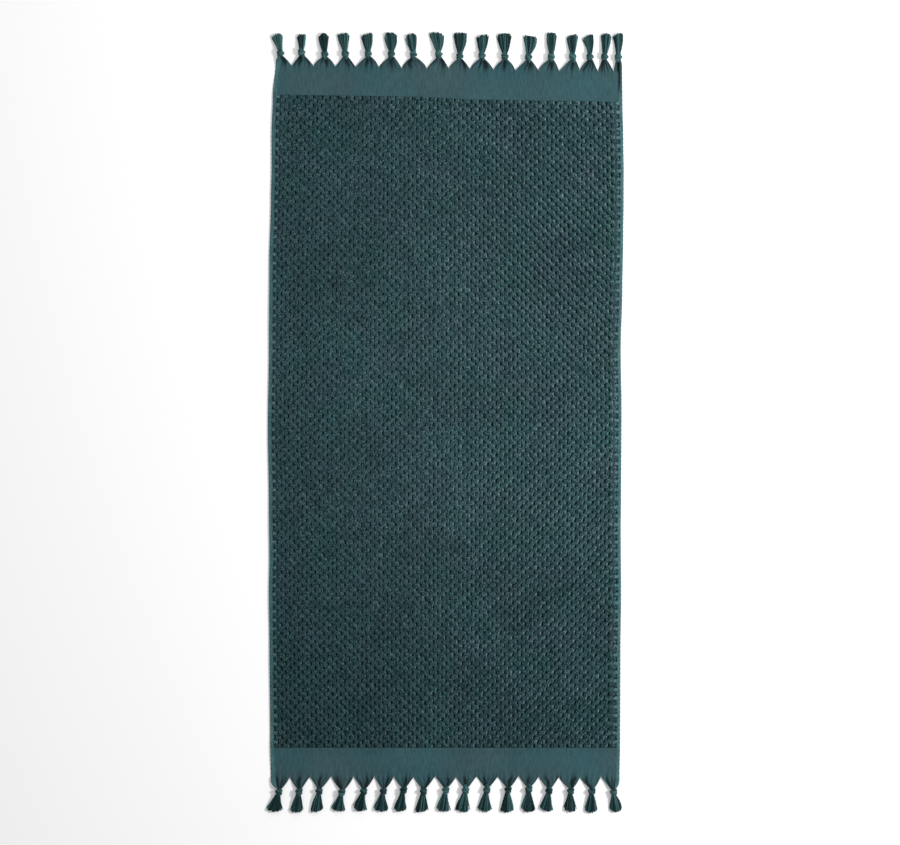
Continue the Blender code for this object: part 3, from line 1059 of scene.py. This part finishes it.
def ramp(tree, value, *stops):
    """A colour ramp over value. Each stop is a position and a linear colour."""
    made = node(tree, "ValToRGB", {"Fac": value})
    elements = made.color_ramp.elements
    while len(elements) < len(stops):
        elements.new(0.5)
    for element, (position, colour) in zip(elements, stops):
        element.position = position
        element.color = (*colour, 1.0)
    return made.outputs["Color"]


def factor(tree, value, amount, offset):
    """value times amount, plus offset."""
    return node(tree, "Math", {0: value, 1: amount, 2: offset}, operation="MULTIPLY_ADD").outputs["Value"]


def added(tree, a, b):
    return node(tree, "Math", {0: a, 1: b}, operation="ADD").outputs["Value"]


def product(tree, a, b):
    return node(tree, "Math", {0: a, 1: b}, operation="MULTIPLY").outputs["Value"]


def tinted(tree, colour, tint):
    """One colour times another."""
    return node(tree, "VectorMath", {0: colour, 1: tint}, operation="MULTIPLY").outputs["Vector"]


def scaled(tree, colour, share):
    """A colour times a number."""
    return node(tree, "VectorMath", {0: colour, "Scale": share}, operation="SCALE").outputs["Vector"]


def bump(tree, shader, height, distance, strength):
    made = node(tree, "Bump", {"Height": height, "Distance": distance, "Strength": strength})
    tree.links.new(made.outputs["Normal"], shader.inputs["Normal"])


def terry_material():
    """Uncut loops of teal cotton: each cell of a Voronoi texture is one loop of yarn, lighter or darker
    than its neighbours, with a painted shade where it meets them."""
    made, tree, shader = new_material("terry_pile", 0.95, 0.04)
    wander = node(tree, "TexNoise", {"Vector": place_in(tree), "Scale": 500}).outputs["Color"]
    moves = {0: wander, 1: (0.0022, 0.0022, 0.0022), 2: place_in(tree)}
    moved = node(tree, "VectorMath", moves, operation="MULTIPLY_ADD").outputs["Vector"]
    along_warp = node(tree, "Mapping", {"Vector": moved, "Scale": (1.15, 0.62, 1.0)}).outputs["Vector"]
    loops = node(tree, "TexVoronoi", {"Vector": along_warp, "Scale": 800})
    from_middle = loops.outputs["Distance"]
    own = node(tree, "SeparateColor", {"Color": loops.outputs["Color"]}).outputs["Red"]
    unlike = added(tree, factor(tree, own, 0.66, -0.33), factor(tree, noise(tree, 640, 2), 0.80, -0.41))
    # The yarn's random tone, with the painted shade and painted highlights carried by the mesh
    light = factor(tree, attribute(tree, "yarn_tone_and_painted_light"), 0.5, 0.5)
    colour = ramp(
        tree, added(tree, factor(tree, light, 0.62, 0.16), unlike),
        (0.05, (0.0050, 0.0200, 0.0230)),
        (0.36, (0.0220, 0.0620, 0.0700)),
        (0.62, (0.0560, 0.1190, 0.1290)),
        (0.92, (0.1750, 0.2800, 0.2920)),
    )
    # Painted shade in the slots: the less closed the pile over a point, the darker it is painted
    painted_slot_shade = ramp(
        tree, attribute(tree, "slot_shade"),
        (0.00, (0.01, 0.03, 0.04)),
        (0.74, (0.05, 0.10, 0.11)),
        (0.98, (1.00, 1.00, 1.00)),
    )
    tint = ramp(tree, noise(tree, 11, 3), (0.35, (1.08, 0.98, 1.01)), (0.65, (0.90, 1.02, 0.98)))
    broad = factor(tree, noise(tree, 5, 2), 0.56, 0.72)
    # Painted shade between the loops: darker towards the border of each Voronoi cell, on the broad random
    # tone
    share = product(tree, broad, factor(tree, from_middle, -0.85, 1.40))
    colour = scaled(tree, tinted(tree, tinted(tree, colour, painted_slot_shade), tint), share)
    tree.links.new(colour, shader.inputs["Base Color"])
    bump(tree, shader, factor(tree, from_middle, -1.0, 1.0), 0.0016, 1.0)
    return made


def weave_material(name, light, dark):
    """Plain weave: fine ribs along the warp, a finer weft across them, and slubs in the yarn. The crease
    values of its mesh paint shade into it, and lighten it where they are below 0."""
    made, tree, shader = new_material(name, 0.85, 0.15)
    colour = ramp(tree, noise(tree, 60, 4, (9, 1, 1)), (0.39, dark), (0.61, light))
    tint = ramp(tree, noise(tree, 8, 3), (0.36, (1.14, 0.97, 0.95)), (0.64, (0.88, 1.01, 1.02)))
    wefts = factor(tree, noise(tree, 60, 2, (1, 14, 1)), 0.34, 0.83)
    share = product(tree, wefts, factor(tree, noise(tree, 9, 2), 0.34, 0.83))
    # Painted shade from the crease values
    share = product(tree, share, factor(tree, attribute(tree, "crease"), -0.84, 1.0))
    colour = scaled(tree, tinted(tree, colour, tint), share)
    tree.links.new(colour, shader.inputs["Base Color"])
    ribs = []
    for direction, width in (("X", 1.3), ("Y", 1.1)):
        inputs = {"Vector": place_in(tree), "Scale": 0.314 / (width * MM), "Distortion": 0.6}
        ribs.append(node(tree, "TexWave", inputs, bands_direction=direction).outputs["Fac"])
    bump(tree, shader, product(tree, *ribs), 0.0004, 0.5)
    return made


def yarn_material():
    """Plied cotton yarn, lighter or darker with the shade of each yarn."""
    made, tree, shader = new_material("tassel_yarn", 0.8, 0.2)
    colour = ramp(
        tree, factor(tree, attribute(tree, "yarn_shade"), 0.5, 0.5),
        (0.10, (0.0035, 0.0170, 0.0200)),
        (0.50, (0.0200, 0.0640, 0.0680)),
        (0.95, (0.0620, 0.1600, 0.1600)),
    )
    fine = factor(tree, noise(tree, 900, 2, (2.5, 1, 1)), 0.8, 0.6)
    tree.links.new(scaled(tree, colour, fine), shader.inputs["Base Color"])
    bump(tree, shader, noise(tree, 1400, 2, (3, 1, 3)), 0.0003, 0.5)
    return made


# The studio


def studio_floor():
    mesh = bpy.data.meshes.new("studio_floor")
    reach = 60.0
    corners = [(-reach, -reach, 0), (reach, -reach, 0), (reach, reach, 0), (-reach, reach, 0)]
    mesh.from_pydata(corners, [], [(0, 1, 2, 3)])
    obj = bpy.data.objects.new("studio_floor", mesh)
    bpy.context.scene.collection.objects.link(obj)
    made = bpy.data.materials.new("studio_white")
    made.use_nodes = True
    shader = made.node_tree.nodes["Principled BSDF"]
    shader.inputs["Base Color"].default_value = (0.92, 0.92, 0.92, 1.0)
    shader.inputs["Emission Color"].default_value = (1.0, 1.0, 1.0, 1.0)
    shader.inputs["Emission Strength"].default_value = 0.17
    shader.inputs["Roughness"].default_value = 1.0
    shader.inputs["Specular IOR Level"].default_value = 0.0
    mesh.materials.append(made)


def area_light(name, place, target, size, power):
    data = bpy.data.lights.new(name, "AREA")
    data.size = size
    data.energy = power
    obj = bpy.data.objects.new(name, data)
    bpy.context.scene.collection.objects.link(obj)
    obj.location = place
    away = np.array(place) - np.array(target)
    flat = math.hypot(away[0], away[1])
    obj.rotation_euler = (math.atan2(flat, away[2]), 0, math.atan2(away[0], -away[1]))
    return obj


def studio():
    """A white floor, a soft key light from the right and an even white surrounding."""
    studio_floor()
    area_light("key_light", (3.0, 0.20, 2.45), (0, 0, 0), 0.55, 132)
    area_light("fill_light", (0.5, 2.3, 1.8), (0, 0.3, 0), 2.2, 20)
    world = bpy.data.worlds.new("studio")
    bpy.context.scene.world = world
    world.use_nodes = True
    background = world.node_tree.nodes["Background"]
    background.inputs["Color"].default_value = (1, 1, 1, 1)
    background.inputs["Strength"].default_value = 0.38
    bpy.context.scene.view_settings.view_transform = "Standard"


def add_camera():
    """Straight above the towel, with the head end up."""
    data = bpy.data.cameras.new("camera")
    data.lens = 100
    data.sensor_width = 36
    obj = bpy.data.objects.new("camera", data)
    bpy.context.scene.collection.objects.link(obj)
    seen_width = 1.795
    obj.location = (0.008, 0.0, seen_width * data.lens / data.sensor_width)
    bpy.context.scene.camera = obj


def main():
    add_camera()
    studio()
    terry = terry_material()
    flat = weave_material("flat_weave", (0.045, 0.105, 0.120), (0.032, 0.080, 0.092))
    edge = weave_material("selvedge_weave", (0.066, 0.158, 0.174), (0.038, 0.100, 0.113))
    yarn = yarn_material()
    cloth = woven_cloth(flat)
    on_cloth = [selvedge("left", edge), selvedge("right", edge)]
    for number, (first, last) in enumerate(chunk_rows(), 1):
        on_cloth.append(pile_chunk(number, first, last, terry))
    for number, name in enumerate(tassel_names("head") + tassel_names("foot")):
        on_cloth.append(tassel(name, number, yarn))


main()
